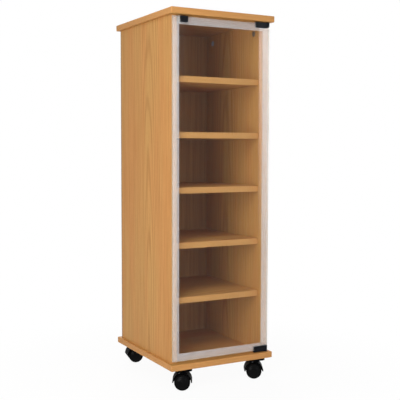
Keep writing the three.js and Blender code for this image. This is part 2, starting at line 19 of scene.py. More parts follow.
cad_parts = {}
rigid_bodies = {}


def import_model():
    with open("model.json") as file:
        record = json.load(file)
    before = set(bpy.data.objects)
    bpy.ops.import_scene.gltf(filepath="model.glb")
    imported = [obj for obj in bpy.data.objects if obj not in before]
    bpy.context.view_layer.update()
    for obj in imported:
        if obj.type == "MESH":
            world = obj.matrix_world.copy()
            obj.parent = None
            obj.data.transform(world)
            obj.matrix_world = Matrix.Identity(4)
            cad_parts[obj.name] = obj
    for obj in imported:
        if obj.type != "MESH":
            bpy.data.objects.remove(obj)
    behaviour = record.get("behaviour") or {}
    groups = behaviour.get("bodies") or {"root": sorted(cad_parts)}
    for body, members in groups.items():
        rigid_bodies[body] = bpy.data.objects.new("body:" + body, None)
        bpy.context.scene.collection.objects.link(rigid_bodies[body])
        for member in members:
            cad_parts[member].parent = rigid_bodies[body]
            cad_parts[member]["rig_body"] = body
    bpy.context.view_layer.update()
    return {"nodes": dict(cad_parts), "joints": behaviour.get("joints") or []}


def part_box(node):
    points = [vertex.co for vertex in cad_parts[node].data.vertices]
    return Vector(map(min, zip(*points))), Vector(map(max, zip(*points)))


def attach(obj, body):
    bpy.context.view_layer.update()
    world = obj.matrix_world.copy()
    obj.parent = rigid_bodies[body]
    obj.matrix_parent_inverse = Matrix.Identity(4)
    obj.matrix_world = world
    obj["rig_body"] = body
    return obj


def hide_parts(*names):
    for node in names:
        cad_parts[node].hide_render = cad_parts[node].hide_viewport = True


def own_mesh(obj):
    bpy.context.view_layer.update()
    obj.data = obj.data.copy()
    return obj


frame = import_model()
log = logging.getLogger("media_tower")

Rgb = tuple[float, float, float]
Place = tuple[float, float, float]
Spot = tuple[float, float]
Material = bpy.types.Material
Piece = bpy.types.Object
Socket = bpy.types.NodeSocket
Sockets = bpy.types.bpy_prop_collection

WELD = 1e-6
FLAT_WITHIN = math.radians(1)
CREASE_MARGIN = 7
WIRE_CREASE = 50
ALONG_Y = Matrix.Rotation(-math.pi / 2, 4, "X")
BACKGROUND_RAYS = ("Camera", "Glossy", "Transmission")

# The Mix node's colour sockets share their names with its other sockets, so they go by number.
MIX_FIRST, MIX_SECOND, MIX_RESULT = 6, 7, 2


class Axis(Enum):
    """One of the tower's three directions."""

    X = 0
    Y = 1
    Z = 2


class CutMode(Enum):
    """How one solid acts on another."""

    JOIN = "UNION"
    CUT = "DIFFERENCE"


# Node trees


def add_node(tree: bpy.types.NodeTree, kind: str, inputs: dict | None = None, **settings: object) -> Sockets:
    """Adds a node to a tree.

    Args:
        tree: The tree.
        kind: The node's type.
        inputs: Values or output sockets by input name or number.
        **settings: Values of the node's own properties.

    Returns:
        The node's outputs.
    """
    node = tree.nodes.new(kind)
    for key, value in settings.items():
        setattr(node, key, value)
    for key, value in (inputs or {}).items():
        socket = node.inputs[key]
        if isinstance(value, Socket):
            tree.links.new(value, socket)
        elif socket.type == "RGBA" and len(value) == 3:
            socket.default_value = (*value, 1.0)
        else:
            socket.default_value = value
    return node.outputs


class Sheet:
    """The shader tree of a material or world, with short ways to add nodes and join them."""

    def __init__(self, name: str, kept_in: str = "materials") -> None:
        """Starts an empty tree.

        Args:
            name: The name of the material or world.
            kept_in: The collection that it belongs to.
        """
        self.owner = getattr(bpy.data, kept_in).new(name)
        self.owner.use_nodes = True
        self.tree = self.owner.node_tree
        self.tree.nodes.clear()

    def add(self, kind: str, inputs: dict | None = None, **settings: object) -> Sockets:
        """Adds a shader node, whose type is given without its prefix, and returns its outputs."""
        return add_node(self.tree, f"ShaderNode{kind}", inputs, **settings)

    def math(self, operation: str, *values: object, clamp: bool = False) -> Socket:
        """Adds a Math node and returns its output."""
        return self.add("Math", dict(enumerate(values)), operation=operation, use_clamp=clamp)[0]

    def plus(self, *values: object) -> Socket:
        """Adds two values up and returns the output."""
        return self.math("ADD", *values)

    def times(self, *values: object) -> Socket:
        """Multiplies two values and returns the output."""
        return self.math("MULTIPLY", *values)

    def mix(self, share: object, first: object, second: object, blend: str = "MIX") -> Socket:
        """Mixes or blends a share of the second colour into the first, and returns the output."""
        inputs = {0: share, MIX_FIRST: first, MIX_SECOND: second}
        return self.add("Mix", inputs, data_type="RGBA", blend_type=blend)[MIX_RESULT]

    def spread(self, value: object, low: float, high: float, to: Spot = (0, 1)) -> Socket:
        """Maps a range of values to another, smoothly at both ends, and returns the output."""
        inputs = {0: value, 1: low, 2: high, 3: to[0], 4: to[1]}
        return self.add("MapRange", inputs, interpolation_type="SMOOTHSTEP")[0]

    def noise(self, place: object, scale: float, detail: float = 3, rough: float = 0.55) -> Socket:
        """Adds noise at a place and returns its strength, about one half on average."""
        inputs = {"Vector": place, "Scale": scale, "Detail": detail, "Roughness": rough}
        return self.add("TexNoise", inputs)[0]

    def place(self, scale: Sequence[float] = (1, 1, 1), turn: Sequence[float] = (0, 0, 0)) -> Socket:
        """Gives the object's own coordinates, turned and then stretched.

        Args:
            scale: What each coordinate is multiplied by.
            turn: Turns about the three axes, in radians.

        Returns:
            The coordinates' output.
        """
        source = self.add("TexCoord")["Object"]
        turned = self.add("Mapping", {"Vector": source, "Rotation": turn})[0]
        return self.add("Mapping", {"Vector": turned, "Scale": scale})[0]

    def split(self, vector: Socket) -> Sockets:
        """Gives the outputs of a vector's three parts."""
        return self.add("SeparateXYZ", {0: vector})

    def facing(self) -> Sockets:
        """Gives the outputs of the three parts of the flat face's direction."""
        return self.split(self.add("NewGeometry")["True Normal"])

    def bump(self, height: object, strength: float, depth: float) -> Socket:
        """Turns a height into a surface normal."""
        return self.add("Bump", {"Height": height, "Strength": strength, "Distance": depth})[0]

    def surface(self, inputs: dict) -> Socket:
        """Adds the surface shader with its values and returns its output."""
        return self.add("BsdfPrincipled", inputs)[0]

    def either(self, share: object, first: Socket, second: Socket) -> Socket:
        """Mixes two shaders and returns the output."""
        return self.add("MixShader", {0: share, 1: first, 2: second})[0]

    def on_rays(self, *kinds: str) -> Socket:
        """Tells rays apart.

        Args:
            *kinds: Names of kinds of rays.

        Returns:
            An output that is 1 on rays of these kinds, and 0 on all others.
        """
        path = self.add("LightPath")
        share, *others = (path[f"Is {kind} Ray"] for kind in kinds)
        for other in others:
            share = self.math("MAXIMUM", share, other)
        return share

    def clear_to_light(self, shader: Socket, tint: Rgb) -> Socket:
        """Shows a see-through shader to the eye only, and lets all other light through without a shadow."""
        clear = self.add("BsdfTransparent", {"Color": tint})[0]
        return self.either(self.on_rays("Camera", "Transmission"), clear, shader)

    def done(self, shader: Socket) -> Material:
        """Joins the shader to the surface and returns the material."""
        self.add("OutputMaterial", {"Surface": shader})
        return self.owner


@dataclass(frozen=True)
class BeechDecor:
    """Beech-coloured decor foil, with banding on the edges of the board that it covers.

    The pattern is cut from a log that lies along the grain, a little askew, so that its rings open into
    arches. A pitch says how fine a pattern is in each direction, the grain's last. Towards a rear edge that
    is given, the colour darkens in a painted shade.
    """

    name: str
    grain: Axis
    face: Axis
    log_place: Spot = (0.19, 0.05)
    log_tilt: float = 0.045
    ring_width: float = 0.0040
    ring_drift: float = 0.030
    drift_pitch: Place = (7, 7, 1.1)
    fibre_pitch: Place = (420, 420, 9)
    streak_pitch: Place = (150, 150, 2.6)
    fleck_pitch: Place = (1500, 1500, 190)
    broad_pitch: Place = (2.3, 2.3, 0.9)
    hue_pitch: Place = (15, 15, 1.3)
    pale: Rgb = (0.636, 0.332, 0.107)
    dark: Rgb = (0.470, 0.207, 0.059)
    fleck: Rgb = (0.290, 0.120, 0.038)
    banding: Rgb = (0.600, 0.298, 0.100)
    orange: Rgb = (1.010, 0.940, 0.905)
    ochre: Rgb = (0.985, 1.050, 1.030)
    rear: float | None = None
    # Painted shade along a given rear edge: its reach, its strength and its colour.
    edge_shade_reach: Spot = (0.0075, 0.0025)
    edge_shade_share: float = 0.75
    edge_shade_colour: Rgb = (0.225, 0.165, 0.120)

    @property
    def turn(self) -> Place:
        """Turns that carry the board's grain to +Z."""
        turns = {Axis.X: (0, -math.pi / 2, 0), Axis.Y: (math.pi / 2, 0, 0), Axis.Z: (0, 0, 0)}
        return turns[self.grain]

    def pattern(self, sheet: Sheet, pitch: Place, detail: float, rough: float = 0.55) -> Socket:
        """Gives the strength of a noise that runs along the grain."""
        return sheet.noise(sheet.place(pitch, self.turn), 1, detail, rough)

    def late_wood(self, sheet: Sheet) -> Socket:
        """Gives how much of a place is late wood, from its distance to the log's heart.

        Args:
            sheet: The material's sheet.

        Returns:
            The share's output.
        """
        drift = self.pattern(sheet, self.drift_pitch, 2)
        warp = sheet.times(sheet.math("SUBTRACT", drift, 0.5), self.ring_drift)
        axes = sheet.split(sheet.place((1, 1, 1), self.turn))
        across = sheet.plus(sheet.plus(axes[0], self.log_place[0]), sheet.times(axes[2], self.log_tilt))
        aside = sheet.plus(axes[1], self.log_place[1])
        squares = sheet.plus(sheet.math("POWER", across, 2.0), sheet.math("POWER", aside, 2.0))
        radius = sheet.plus(sheet.math("SQRT", squares), warp)
        ring = sheet.math("PINGPONG", sheet.math("DIVIDE", radius, self.ring_width), 1.0)
        return sheet.spread(ring, 0.45, 1.0)

    def wood(self, sheet: Sheet, fibre: Socket) -> Socket:
        """Gives the printed wood's colour.

        Args:
            sheet: The material's sheet.
            fibre: The strength of the fine fibres.

        Returns:
            The colour's output.
        """
        streak = self.pattern(sheet, self.streak_pitch, 3)
        flecks = sheet.spread(self.pattern(sheet, self.fleck_pitch, 1), 0.62, 0.72)
        rings = sheet.times(self.late_wood(sheet), 0.58)
        tone = sheet.plus(rings, sheet.spread(fibre, 0.3, 0.75, (-0.04, 0.52)))
        tone = sheet.math("ADD", tone, sheet.spread(streak, 0.3, 0.7, (-0.10, 0.24)), clamp=True)
        wood = sheet.mix(tone, self.pale, self.dark)
        wood = sheet.mix(sheet.times(flecks, 0.35), wood, self.fleck)
        broad = sheet.spread(self.pattern(sheet, self.broad_pitch, 1), 0.3, 0.7, (0.0, 0.14))
        wood = sheet.mix(broad, wood, self.dark)
        hue = sheet.spread(self.pattern(sheet, self.hue_pitch, 2), 0.35, 0.65)
        return sheet.mix(1.0, wood, sheet.mix(hue, self.orange, self.ochre), "MULTIPLY")

    def material(self) -> Material:
        """Builds the finish.

        Returns:
            The material.
        """
        sheet = Sheet(self.name)
        fibre = self.pattern(sheet, self.fibre_pitch, 4, 0.6)
        edge = sheet.spread(sheet.math("ABSOLUTE", sheet.facing()[self.face.value]), 0.95, 0.4)
        band = sheet.mix(sheet.spread(fibre, 0.25, 0.8, (0, 0.5)), self.banding, self.dark)
        colour = sheet.mix(edge, self.wood(sheet, fibre), band)
        if self.rear is not None:
            # Painted shade: the colour darkens towards the rear edge.
            start, end = (self.rear - reach for reach in self.edge_shade_reach)
            edge_shade_mask = sheet.spread(sheet.split(sheet.place())[1], start, end, (0, self.edge_shade_share))
            colour = sheet.mix(edge_shade_mask, colour, self.edge_shade_colour)
        return sheet.done(sheet.surface({
            "Base Color": colour,
            "Roughness": sheet.spread(fibre, 0.2, 0.8, (0.44, 0.54)),
            "Normal": sheet.bump(fibre, 0.12, 0.00015),
            "Specular IOR Level": 0.12,
        }))


@dataclass(frozen=True)
class Hardboard:
    """Thin fibreboard: decor towards the shelves, bare pressed fibre behind."""

    name: str = "hardboard"
    decor: Rgb = (0.560, 0.300, 0.115)
    decor_dark: Rgb = (0.450, 0.225, 0.080)
    decor_pitch: Place = (210, 210, 4)
    fibre: Rgb = (0.360, 0.215, 0.112)
    fibre_dark: Rgb = (0.235, 0.132, 0.066)
    mottle_scale: float = 240
    cloud_scale: float = 14
    straw: Rgb = (0.500, 0.345, 0.200)
    straw_pitch: Place = (520, 520, 190)
    straw_turn: Place = (0, 0.6, 0)

    def material(self) -> Material:
        """Builds the finish.

        Returns:
            The material.
        """
        sheet = Sheet(self.name)
        grain = sheet.noise(sheet.place(self.decor_pitch), 1, 4)
        inner = sheet.mix(sheet.spread(grain, 0.3, 0.7), self.decor, self.decor_dark)
        mottle = sheet.noise(sheet.place(), self.mottle_scale, 6, 0.72)
        cloud = sheet.noise(sheet.place(), self.cloud_scale, 4, 0.6)
        outer = sheet.mix(sheet.spread(mottle, 0.35, 0.66), self.fibre, self.fibre_dark)
        outer = sheet.mix(sheet.spread(cloud, 0.35, 0.7, (0.0, 0.35)), outer, self.fibre_dark)
        chips = sheet.noise(sheet.place(self.straw_pitch, self.straw_turn), 1, 2)
        outer = sheet.mix(sheet.spread(chips, 0.64, 0.72, (0.0, 0.6)), outer, self.straw)
        behind = sheet.math("GREATER_THAN", sheet.facing()[1], -0.5)
        return sheet.done(sheet.surface({
            "Base Color": sheet.mix(behind, inner, outer),
            "Roughness": sheet.spread(mottle, 0.3, 0.7, (0.55, 0.70)),
            "Normal": sheet.bump(sheet.times(mottle, behind), 0.35, 0.0003),
            "Specular IOR Level": 0.3,
        }))


@dataclass(frozen=True)
class ClearGlass:
    """Clear float glass with a faint green cast, its edges matt from grinding and darkened by painted shade.
    """

    low: Place
    high: Place
    name: str = "clear_glass"
    cast: Rgb = (0.955, 0.985, 0.970)
    mirror: Rgb = (0.20, 0.20, 0.20)
    passing: Rgb = (0.955, 0.97, 0.965)
    refraction: float = 1.5
    smear_pitch: Place = (4, 4, 2.5)
    # Partly real, partly painted: the edges are matt from grinding, and their brown is a painted shade of the
    # gap.
    ground_edge_and_gap_shade: Rgb = (0.45, 0.34, 0.22)
    ground_rough: float = 0.45
    seam: float = 0.0004

    def at_edge(self, sheet: Sheet) -> Socket:
        """Gives 1 on the four narrow faces of the pane, and 0 elsewhere.

        Args:
            sheet: The material's sheet.

        Returns:
            The share's output.
        """
        spot = sheet.split(sheet.place())
        edges = []
        for axis in (Axis.X.value, Axis.Z.value):
            middle = (self.low[axis] + self.high[axis]) / 2
            reach = (self.high[axis] - self.low[axis]) / 2 - self.seam
            away = sheet.math("ABSOLUTE", sheet.math("SUBTRACT", spot[axis], middle))
            edges.append(sheet.math("GREATER_THAN", away, reach))
        return sheet.math("MAXIMUM", *edges)

    def material(self) -> Material:
        """Builds the finish.

        Returns:
            The material.
        """
        sheet = Sheet(self.name)
        smear = sheet.noise(sheet.place(self.smear_pitch), 1, 2)
        pane = sheet.surface({
            "Base Color": self.cast,
            "Roughness": sheet.spread(smear, 0.3, 0.8, (0.0, 0.03)),
            "IOR": self.refraction,
            "Specular Tint": self.mirror,
            "Transmission Weight": 1.0,
        })
        # Painted shade on the narrow faces, for the shaded gap between the panel and the glass.
        edge = sheet.surface({"Base Color": self.ground_edge_and_gap_shade, "Roughness": self.ground_rough})
        both = sheet.either(self.at_edge(sheet), pane, edge)
        return sheet.done(sheet.clear_to_light(both, self.passing))


@dataclass(frozen=True)
class FrostedFilm:
    """Frosted film: pale, and a little of what lies behind shows through."""

    name: str = "frosted_film"
    colour: Rgb = (0.960, 0.932, 0.970)
    thin: Rgb = (0.900, 0.868, 0.905)
    passing: Rgb = (0.94, 0.93, 0.935)
    grain: float = 2600
    rough: float = 0.7
    body: float = 0.235

    def material(self) -> Material:
        """Builds the finish.

        Returns:
            The material.
        """
        sheet = Sheet(self.name)
        grain = sheet.noise(sheet.place(), self.grain, 2)
        colour = sheet.mix(sheet.spread(grain, 0.3, 0.7), self.colour, self.thin)
        film = sheet.surface({"Base Color": colour, "Roughness": self.rough, "Alpha": self.body})
        return sheet.done(sheet.clear_to_light(film, self.passing))


@dataclass(frozen=True)
class MouldedPlastic:
    """Moulded plastic with a fine spark-eroded skin, worn a little paler in clouds."""

    name: str
    colour: Rgb
    rough: float = 0.42
    skin: float = 0.15
    grain: float = 1800
    gloss: float = 0.5
    cloud_scale: float = 60
    worn_factor: float = 1.35
    worn_lift: float = 0.002

    def material(self) -> Material:
        """Builds the finish.

        Returns:
            The material.
        """
        sheet = Sheet(self.name)
        skin = sheet.noise(sheet.place(), self.grain, 2)
        cloud = sheet.noise(sheet.place(), self.cloud_scale, 3)
        worn = tuple(channel * self.worn_factor + self.worn_lift for channel in self.colour)
        return sheet.done(sheet.surface({
            "Base Color": sheet.mix(sheet.spread(cloud, 0.4, 0.75, (0, 0.6)), self.colour, worn),
            "Roughness": sheet.spread(cloud, 0.3, 0.7, (self.rough - 0.05, self.rough + 0.07)),
            "Normal": sheet.bump(skin, self.skin, 0.0001),
            "Specular IOR Level": self.gloss,
        }))


@dataclass(frozen=True)
class CoatedMetal:
    """Metal under a thin coat or plating, with fine brush lines and duller clouds."""

    name: str
    colour: Rgb
    metal: float
    rough: float
    lines: Axis = Axis.X
    gloss: float = 0.5
    across_lines: float = 900.0
    along_lines: float = 40.0
    cloud_scale: float = 90
    dull_factor: float = 0.72

    def material(self) -> Material:
        """Builds the finish.

        Returns:
            The material.
        """
        sheet = Sheet(self.name)
        pitch = [self.across_lines] * 3
        pitch[self.lines.value] = self.along_lines
        brushed = sheet.noise(sheet.place(pitch), 1, 3)
        cloud = sheet.noise(sheet.place(), self.cloud_scale, 3)
        dull = tuple(channel * self.dull_factor for channel in self.colour)
        return sheet.done(sheet.surface({
            "Base Color": sheet.mix(sheet.spread(cloud, 0.35, 0.7, (0, 0.7)), self.colour, dull),
            "Metallic": self.metal,
            "Roughness": sheet.spread(brushed, 0.25, 0.75, (self.rough - 0.06, self.rough + 0.08)),
            "Normal": sheet.bump(brushed, 0.08, 0.00005),
            "Specular IOR Level": self.gloss,
        }))


BLACK_PLASTIC = MouldedPlastic("black_plastic", (0.0011, 0.0011, 0.0014), rough=0.48, gloss=0.02)
CAP_PLASTIC = MouldedPlastic("cap_plastic", (0.0009, 0.0009, 0.0010), rough=0.18, skin=0.05, gloss=0.07)
TREAD_PLASTIC = MouldedPlastic(
    "tread_plastic", (0.0030, 0.0030, 0.0031), rough=0.58, skin=0.3, grain=1200, gloss=0.03,
)
WHITE_PLASTIC = MouldedPlastic("white_plastic", (0.700, 0.700, 0.675), rough=0.46)
# Partly real, partly painted: a black coat, whose blue cast is a painted cool reflection.
BLACK_METAL = CoatedMetal("black_coated_metal", (0.0036, 0.0048, 0.0080), metal=0.0, rough=0.32, gloss=0.09)
ZINC = CoatedMetal("zinc_plating", (0.520, 0.525, 0.530), metal=1.0, rough=0.32)
PIN_STEEL = CoatedMetal("pin_steel", (0.600, 0.600, 0.600), metal=1.0, rough=0.22, lines=Axis.Z)
HARDBOARD = Hardboard()
FILM = FrostedFilm()
PANEL_DECOR = {
    "side_panel_left": BeechDecor("decor_left_panel", Axis.Z, Axis.X, (0.165, 0.025), 0.034),
    "side_panel_right": BeechDecor("decor_right_panel", Axis.Z, Axis.X, (-0.17, -0.035), -0.030),
}
BOARD_DECOR = BeechDecor("decor_boards", Axis.X, Axis.Z, (0.06, 0.31), 0.05)
SHELF_DECOR = BeechDecor("decor_shelves", Axis.X, Axis.Z, (0.04, 0.16), 0.06)


# Mesh work


def new_object(name: str, data: bpy.types.ID) -> Piece:
    """Puts an object into the scene, at the origin.

    Args:
        name: The object's name.
        data: Its mesh, camera or lamp.

    Returns:
        The object.
    """
    thing = bpy.data.objects.new(name, data)
    bpy.context.scene.collection.objects.link(thing)
    return thing


def from_bmesh(name: str, form: bmesh.types.BMesh) -> Piece:
    """Turns a bmesh into a piece and frees it.

    Args:
        name: The piece's name.
        form: The bmesh.

    Returns:
        The piece.
    """
    bmesh.ops.remove_doubles(form, verts=form.verts, dist=WELD)
    bmesh.ops.recalc_face_normals(form, faces=form.faces)
    mesh = bpy.data.meshes.new(name)
    form.to_mesh(mesh)
    form.free()
    return new_object(name, mesh)


def block(name: str, low: Place, high: Place) -> Piece:
    """Makes a box.

    Args:
        name: The piece's name.
        low: Its lowest corner.
        high: Its highest corner.

    Returns:
        The box.
    """
    form = bmesh.new()
    bmesh.ops.create_cube(form, size=1.0)
    for vertex in form.verts:
        vertex.co = Vector(high[i] if vertex.co[i] > 0 else low[i] for i in range(3))
    return from_bmesh(name, form)


def bridge(form: bmesh.types.BMesh, rings: list[list[bmesh.types.BMVert]]) -> None:
    """Joins rings of corners with faces, each ring to the next.

    Args:
        form: The bmesh of the corners.
        rings: The rings, all of one length or of a single corner.
    """
    for ring, after in zip(rings, rings[1:]):
        for k in range(max(len(ring), len(after))):
            corners = [ring[k % len(ring)], ring[(k + 1) % len(ring)]]
            corners += [after[(k + 1) % len(after)], after[k % len(after)]]
            form.faces.new(list(dict.fromkeys(corners)))


def turned(name: str, profile: Sequence[Spot], sides: int, stand: Matrix) -> Piece:
    """Turns a profile about its own axis.

    Args:
        name: The piece's name.
        profile: Radius and height of each point. Both ends lie on the axis, or the last point is the first.
        sides: Facets round the axis.
        stand: Carries the axis from +Z to its place.

    Returns:
        The closed piece.
    """
    form = bmesh.new()
    turns = [2 * math.pi * i / sides for i in range(sides)]
    rings = []
    for radius, height in profile:
        ring = turns if radius else turns[:1]
        places = [stand @ Vector((radius * math.cos(t), radius * math.sin(t), height)) for t in ring]
        rings.append([form.verts.new(place) for place in places])
    bridge(form, rings)
    return from_bmesh(name, form)


def rod(name: str, radius: float, low: float, high: float, sides: int, stand: Matrix) -> Piece:
    """Makes a round rod from one height to another on the axis that its stand carries."""
    return turned(name, [(0, low), (radius, low), (radius, high), (0, high)], sides, stand)


def prism(name: str, outline: Sequence[Spot], axis: Axis, low: float, high: float) -> Piece:
    """Gives a flat outline thickness.

    Args:
        name: The piece's name.
        outline: Points in the two other directions, in X, Y, Z order.
        axis: The direction of the thickness.
        low: Where it starts.
        high: Where it ends.

    Returns:
        The closed piece.
    """
    form = bmesh.new()
    rings = []
    for level in (low, high):
        places = [(*spot[:axis.value], level, *spot[axis.value:]) for spot in outline]
        rings.append([form.verts.new(place) for place in places])
        form.faces.new(rings[-1])
    bridge(form, rings)
    return from_bmesh(name, form)


def tube(name: str, route: Sequence[Vector], radius: float, sides: int) -> Piece:
    """Lays a round wire along a route and closes its ends.

    Args:
        name: The piece's name.
        route: Points of the wire's middle.
        radius: The wire's radius.
        sides: Facets round it.

    Returns:
        The closed piece.
    """
    form = bmesh.new()
    turns = [2 * math.pi * k / sides for k in range(sides)]
    rings = []
    for i, point in enumerate(route):
        ahead = (route[min(i + 1, len(route) - 1)] - route[max(i - 1, 0)]).normalized()
        aside = ahead.cross(Vector((0, 1, 0))).normalized()
        above = aside.cross(ahead)
        places = [point + radius * (math.cos(t) * aside + math.sin(t) * above) for t in turns]
        rings.append([form.verts.new(place) for place in places])
    bridge(form, rings)
    form.faces.new(rings[0])
    form.faces.new(rings[-1])
    return smoothed(from_bmesh(name, form), WIRE_CREASE)


def arc(radius: float, start: float, end: float, steps: int, centre: Spot) -> list[Spot]:
    """Lists the points of an arc, both ends included."""
    turns = [start + (end - start) * i / steps for i in range(steps + 1)]
    return [(centre[0] + radius * math.cos(t), centre[1] + radius * math.sin(t)) for t in turns]


def baked(piece: Piece) -> Piece:
    """Applies a piece's modifiers to its mesh.

    Args:
        piece: The piece.

    Returns:
        The same piece.
    """
    shape = piece.evaluated_get(bpy.context.evaluated_depsgraph_get())
    mesh = bpy.data.meshes.new_from_object(shape)
    piece.modifiers.clear()
    old, piece.data = piece.data, mesh
    bpy.data.meshes.remove(old)
    return piece


def combine(piece: Piece, mode: CutMode, *others: Piece) -> Piece:
    """Joins other solids to a piece or cuts them out of it.

    Args:
        piece: The piece.
        mode: What the others do to it.
        *others: The other solids, which are used up.

    Returns:
        The same piece.
    """
    for other in others:
        modifier = piece.modifiers.new("combine", "BOOLEAN")
        modifier.operation = mode.value
        modifier.solver = "EXACT"
        modifier.object = other
        baked(piece)
        bpy.data.objects.remove(other)
    return piece


def smoothed(piece: Piece, crease: float) -> Piece:
    """Shades a piece smooth.

    Args:
        piece: The piece.
        crease: Edges that turn by more, in degrees, stay sharp.

    Returns:
        The same piece.
    """
    piece.data.shade_smooth()
    form = bmesh.new()
    form.from_mesh(piece.data)
    for edge in form.edges:
        edge.smooth = len(edge.link_faces) != 2 or edge.calc_face_angle(0) < math.radians(crease)
    form.to_mesh(piece.data)
    form.free()
    return piece


def softened(piece: Piece, width: float, segments: int = 3, angle: float = 28) -> Piece:
    """Rounds a piece's edges and shades its curves smooth.

    Args:
        piece: The piece.
        width: How much of each face the rounding takes.
        segments: Facets across the rounding.
        angle: Edges that turn by less, in degrees, are left alone.

    Returns:
        The piece.
    """
    bevel = piece.modifiers.new("round", "BEVEL")
    bevel.width = width
    bevel.segments = segments
    bevel.limit_method = "ANGLE"
    bevel.angle_limit = math.radians(angle)
    smoothed(baked(piece), angle + CREASE_MARGIN)
    weigh = piece.modifiers.new("weigh", "WEIGHTED_NORMAL")
    weigh.keep_sharp = True
    weigh.weight = 100
    return baked(piece)


def node_copy(node: str) -> Piece:
    """Copies a solid of the frame, with its triangles joined into flat faces.

    Args:
        node: The solid's name.

    Returns:
        The copy.
    """
    name = f"{node}_dressed"
    form = bmesh.new()
    form.from_mesh(frame["nodes"][node].data)
    bmesh.ops.remove_doubles(form, verts=form.verts, dist=WELD)
    bmesh.ops.dissolve_limit(form, angle_limit=FLAT_WITHIN, verts=form.verts, edges=form.edges)
    mesh = bpy.data.meshes.new(name)
    form.to_mesh(mesh)
    form.free()
    return new_object(name, mesh)


def coat(piece: Piece, finish: Material) -> None:
    """Gives a piece one finish all over."""
    piece.data.materials.clear()
    piece.data.materials.append(finish)


def paint(node: str, finish: Material) -> None:
    """Gives a solid of the frame, whose shape stays as it is, a better finish."""
    coat(frame["nodes"][node], finish)
    log.info("%s: painted", node)


def dress(piece: Piece, finish: Material, node: str) -> None:
    """Gives a piece its finish and puts it in the place of a solid of the frame.

    Args:
        piece: The finished piece.
        finish: Its material.
        node: The solid that it stands for, whose body it rides on.
    """
    coat(piece, finish)
    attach(piece, frame["nodes"][node]["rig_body"])
    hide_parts(node)
    log.info("%s: %d faces", piece.name, len(piece.data.polygons))


def ease(node: str, width: float, segments: int, finish: Material) -> None:
    """Puts a finished copy with rounded edges in the place of a solid of the frame."""
    dress(softened(node_copy(node), width, segments), finish, node)


def corners() -> list[str]:
    """Names the four corners of the tower."""
    return [f"{end}_{side}" for end in ("front", "rear") for side in ("left", "right")]


# Sub-assemblies


@dataclass
class Carcass:
    """Boards, side panels, shelves and back."""

    board_round: float = 0.0009
    arris: float = 0.0004
    shelves: int = 5

    def build(self) -> None:
        """Dresses the wooden pieces, with their edges eased."""
        boards = BOARD_DECOR.material()
        for node in ("top_board", "base_board"):
            ease(node, self.board_round, 3, boards)
        for node, decor in PANEL_DECOR.items():
            ease(node, self.arris, 2, replace(decor, rear=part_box(node)[1].y).material())
        shelf_decor = SHELF_DECOR.material()
        for number in range(1, self.shelves + 1):
            ease(f"shelf_{number}", self.arris, 2, shelf_decor)
        paint("back_panel", HARDBOARD.material())


@dataclass
class JointFittings:
    """Cam discs and bolts at the top, and the long screws at the base."""

    arris: float = 0.0003

    def build(self) -> None:
        """Dresses the fittings at the four corners."""
        zinc = ZINC.material()
        for corner in corners():
            ease(f"cam_disc_{corner}", self.arris, 2, zinc)
            ease(f"base_screw_{corner}", self.arris, 2, zinc)
            paint(f"cam_bolt_{corner}", zinc)


@dataclass
class Door:
    """Glass pane with its frosted border and the strike clip."""

    clip_round: float = 0.00035

    def build(self) -> None:
        """Dresses the pane, the border and the clip."""
        low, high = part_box("door_glass")
        paint("door_glass", ClearGlass(tuple(low), tuple(high)).material())
        paint("door_frosted_border", FILM.material())
        ease("strike_clip", self.clip_round, 2, BLACK_METAL.material())


